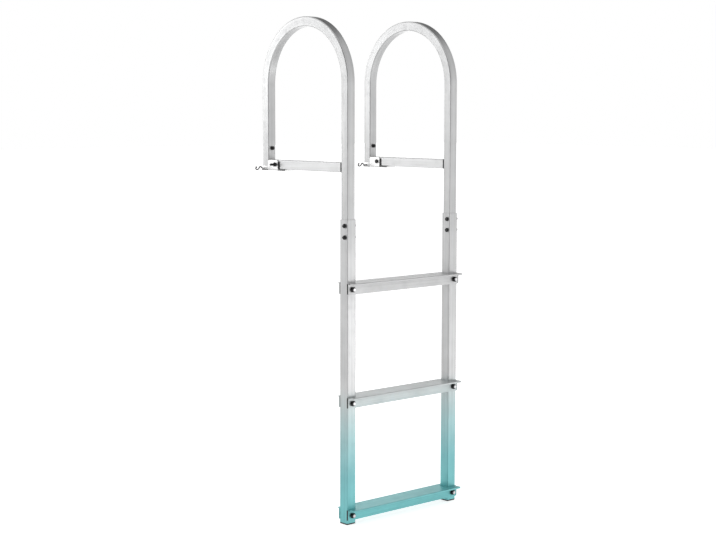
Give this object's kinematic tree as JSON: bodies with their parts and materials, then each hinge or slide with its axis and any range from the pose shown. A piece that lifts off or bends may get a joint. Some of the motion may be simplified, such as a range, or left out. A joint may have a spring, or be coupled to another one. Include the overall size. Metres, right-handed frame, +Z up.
{
  "type": "dock ladder",
  "caption": "Dock boarding ladder with square-tube hoop handrails on deck brackets, sleeved stiles and flat notched treads.",
  "frame": {"origin": "centre of the underside of the left deck bracket's base plate, on the deck", "axes": "+X along the treads to the right bracket, +Y inland over the dock, +Z up along the stiles"},
  "size_m": [0.4567, 0.3807, 1.3342],
  "materials": {
    "rail_aluminium": "satin anodised square tube",
    "stile_aluminium": "satin anodised square tube",
    "tread_aluminium": "extruded, satin anodised",
    "bracket_steel": "bright brushed stainless",
    "fastener_steel": "bright plated",
    "dark_fastener": "black plated",
    "spring_wire": "dull drawn wire",
    "black_plastic": "moulded, matt"
  },
  "bodies": {
    "root": {"left_hoop_front_leg": "rail_aluminium", "right_hoop_front_leg": "rail_aluminium", "left_hoop_bend": "rail_aluminium", "right_hoop_bend": "rail_aluminium", "left_hoop_rear_leg": "rail_aluminium", "right_hoop_rear_leg": "rail_aluminium", "left_stile": "stile_aluminium", "right_stile": "stile_aluminium", "upper_tread": "tread_aluminium", "middle_tread": "tread_aluminium", "lower_tread": "tread_aluminium", "left_deck_bar": "rail_aluminium", "right_deck_bar": "rail_aluminium", "left_bar_caps": "black_plastic", "right_bar_caps": "black_plastic", "left_bar_pads": "black_plastic", "right_bar_pads": "black_plastic", "left_bar_screw": "fastener_steel", "right_bar_screw": "fastener_steel", "left_deck_bracket": "bracket_steel", "right_deck_bracket": "bracket_steel", "left_bracket_bolt": "dark_fastener", "right_bracket_bolt": "dark_fastener", "left_bracket_nut": "dark_fastener", "right_bracket_nut": "dark_fastener", "left_leg_bolt": "dark_fastener", "right_leg_bolt": "dark_fastener", "left_leg_nut": "dark_fastener", "right_leg_nut": "dark_fastener", "left_wire_pin": "spring_wire", "right_wire_pin": "spring_wire", "left_splice_bolts": "dark_fastener", "right_splice_bolts": "dark_fastener", "left_splice_nuts": "dark_fastener", "right_splice_nuts": "dark_fastener", "upper_tread_bolts": "fastener_steel", "upper_tread_nuts": "dark_fastener", "middle_tread_bolts": "fastener_steel", "middle_tread_nuts": "dark_fastener", "lower_tread_bolts": "fastener_steel", "lower_tread_nuts": "dark_fastener", "left_foot_plug": "black_plastic", "right_foot_plug": "black_plastic"}
  },
  "joints": []
}
